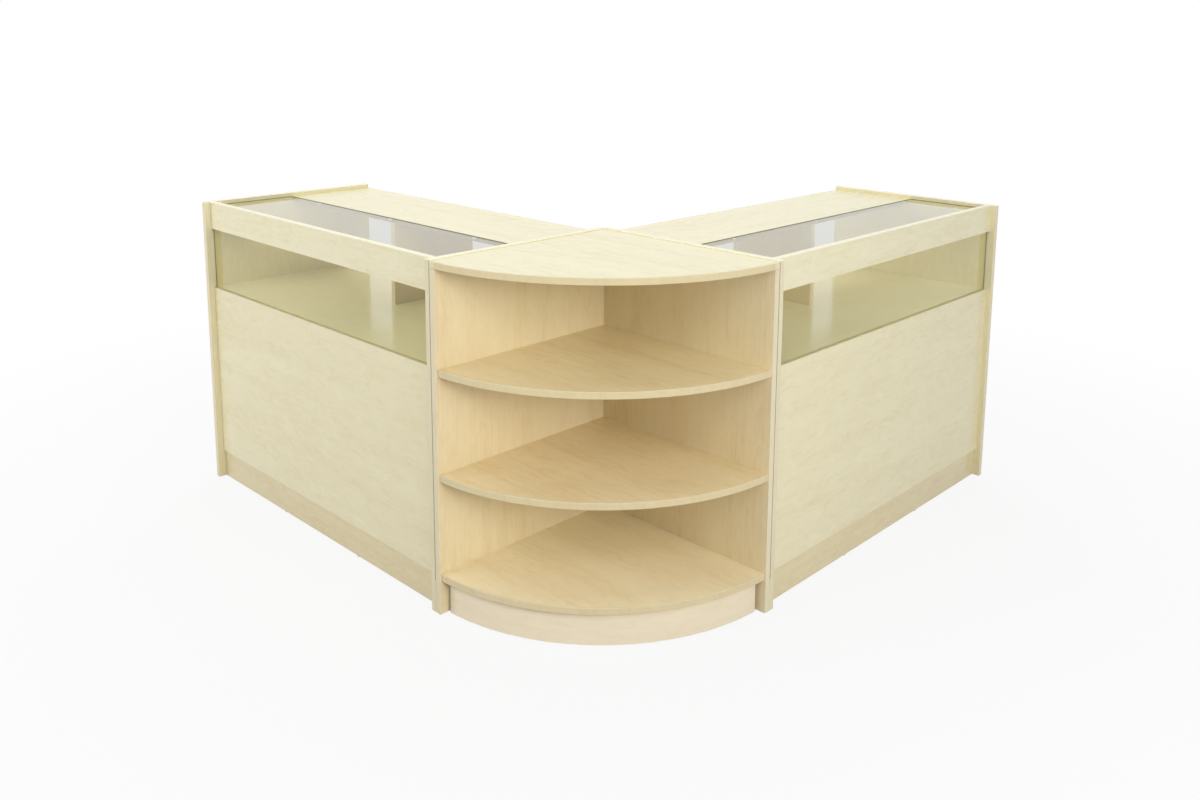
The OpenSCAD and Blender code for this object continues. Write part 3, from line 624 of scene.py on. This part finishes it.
edge = trim["edgeInset"]
panes = (("leftTop", "left_top_glass", 2), ("rightTop", "right_top_glass", 2),
         ("leftFront", "left_front_glass", 1), ("rightFront", "right_front_glass", 0))
for name, pane, slim in panes:
    makeBand(name + "GlassEdge", pane, slim, edge, trim["edgeSkin"], (edge, -edge))
    # the second band is painted shadow: a dark strip in the gap round a top pane
    if slim == 2:
        makeBand(name + "GlassGapShade", pane, slim, -trim["gapShadeOut"], trim["gapShadeWidth"],
                 (0.0, trim["gapShadeProud"]))
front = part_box("left_lippings")[0][1]
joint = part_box("left_inner_end_panel")[1][0]
half, low, high = trim["jointWidth"] / 2, *trim["jointHeights"]
near, far = front - trim["jointProud"], front + trim["jointDepth"]
# dark bars are painted shadow in the seams between the quadrant and the counters
makeBar("leftJointShadow", (joint - half, near, low), (joint + half, far, high))
makeBar("rightJointShadow", (-far, -joint - half, low), (-near, -joint + half, high))
print("trim made")


studio = {
    "floorTone": (0.58, 0.58, 0.58, 1.0),
    "floorReach": 16.0,  # metres from the middle to each side
    "floorWhite": (0.895, 1.0),  # share of plain white, near the object and far off
    "floorWhiteAt": (1.2, 3.2),  # metres from the middle
    "throughGlass": 0.63,  # how bright the backdrop is behind the panes
    "worldTone": (1.0, 1.0, 1.0, 1.0),
    "worldStrength": 0.17,
}
lamps = {
    # place, aim, size, watts
    "sideLamp": ((7.2, -1.0, 2.7), (0.2, -0.35, 0.5), (3.6, 2.6), 165.0),
    "nearSideLamp": ((3.9, -1.3, 1.45), (0.3, -0.4, 0.6), (1.4, 0.8), 22.0),
    "cameraLamp": ((2.7, -2.9, 2.7), (0.2, -0.3, 0.5), (2.0, 1.6), 39.0),
    "frontLamp": ((-0.4, -3.9, 2.7), (-0.2, -0.4, 0.5), (2.4, 1.6), 26.0),
    "leftLamp": ((-2.6, -4.0, 1.8), (-0.2, -0.4, 0.5), (2.2, 1.8), 65.0),
    "topLamp": ((0.3, -0.3, 4.2), (0.0, 0.0, 0.5), (3.2, 3.2), 54.0),
    "backLamp": ((-2.4, 2.4, 3.6), (0.0, 0.0, 0.5), (2.4, 2.0), 90.0),
    "lowLeftLamp": ((-4.3, 0.8, 0.5), (0.0, 0.2, 0.4), (2.2, 0.7), 71.0),
    "lowBackLamp": ((-0.8, 4.3, 0.5), (-0.2, 0.0, 0.4), (2.2, 0.7), 71.0),
}


# Two numbers for the backdrop: 1 for rays from the camera, off gloss or through glass that
# no matt surface has scattered, and how bright its white is, which is less through glass.
def seenRays(tree, throughGlass):
    ray = addNode(tree, "ShaderNodeLightPath", (-700, 400)).outputs
    seen = calculate(tree, (-450, 500), "MAXIMUM", ray["Is Camera Ray"], ray["Is Glossy Ray"])
    seen = calculate(tree, (-250, 450), "MAXIMUM", seen, ray["Is Transmission Ray"])
    unscattered = calculate(tree, (-450, 250), "LESS_THAN", ray["Diffuse Depth"], 0.5)
    seen = calculate(tree, (-50, 400), "MULTIPLY", seen, unscattered)
    bright = calculate(tree, (-450, 50), "MULTIPLY_ADD",
                       ray["Is Transmission Ray"], throughGlass - 1.0, 1.0)
    return seen, bright


# A flat square. What the camera, gloss and glass see of it is part plain white, so that it
# fades into the backdrop but keeps the object's shadow.
def makeFloor(setup):
    reach = setup["floorReach"]
    mesh = bpy.data.meshes.new("studioFloor")
    corners = [(-reach, -reach, 0.0), (reach, -reach, 0.0), (reach, reach, 0.0),
               (-reach, reach, 0.0)]
    mesh.from_pydata(corners, [], [(0, 1, 2, 3)])
    material, tree = newMaterial("floorWhite")
    seen, bright = seenRays(tree, setup["throughGlass"])
    place = addNode(tree, "ShaderNodeTexCoord", (-700, -300))
    away = addNode(tree, "ShaderNodeVectorMath", (-500, -300), {0: place.outputs["Object"]},
                   operation="LENGTH")
    share = rescale(tree, (-300, -300), away.outputs["Value"], setup["floorWhiteAt"],
                    setup["floorWhite"], interpolation_type="SMOOTHSTEP")
    plain = addNode(tree, "ShaderNodeBsdfDiffuse", (200, 100), {"Color": setup["floorTone"]})
    white = addNode(tree, "ShaderNodeEmission", (200, -100), {"Strength": bright})
    mix = addNode(tree, "ShaderNodeMixShader", (500, 0),
                  {"Fac": calculate(tree, (200, 350), "MULTIPLY", seen, share),
                   1: plain.outputs["BSDF"], 2: white.outputs["Emission"]})
    showSurface(tree, mix.outputs["Shader"])
    mesh.materials.append(material)
    addObject("studioFloor", mesh)


def makeWorld(setup):
    world = bpy.data.worlds.new("studioWorld")
    scene.world = world
    world.use_nodes = True
    tree = world.node_tree
    tree.nodes.clear()
    seen, bright = seenRays(tree, setup["throughGlass"])
    lit = addNode(tree, "ShaderNodeBackground", (200, 100),
                  {"Color": setup["worldTone"], "Strength": setup["worldStrength"]})
    white = addNode(tree, "ShaderNodeBackground", (200, -100),
                    {"Color": setup["worldTone"], "Strength": bright})
    mix = addNode(tree, "ShaderNodeMixShader", (420, 0),
                  {"Fac": seen, 1: lit.outputs["Background"], 2: white.outputs["Background"]})
    addNode(tree, "ShaderNodeOutputWorld", (600, 0), {"Surface": mix.outputs["Shader"]})


def makeLamp(name, place, aim, size, watts):
    data = bpy.data.lights.new(name, "AREA")
    data.shape = "RECTANGLE"
    data.size, data.size_y = size
    data.energy = watts
    lamp = addObject(name, data)
    # gloss shows the backdrop alone, and panes let a lamp through by their lamp tint
    lamp.visible_camera = lamp.visible_glossy = lamp.visible_transmission = False
    lamp.location = place
    lamp.rotation_mode = "QUATERNION"
    lamp.rotation_quaternion = (Vector(aim) - Vector(place)).to_track_quat("-Z", "Y")


makeFloor(studio)
makeWorld(studio)
for name, row in lamps.items():
    makeLamp(name, *row)
scene.view_settings.view_transform = "Standard"
print("studio lit")
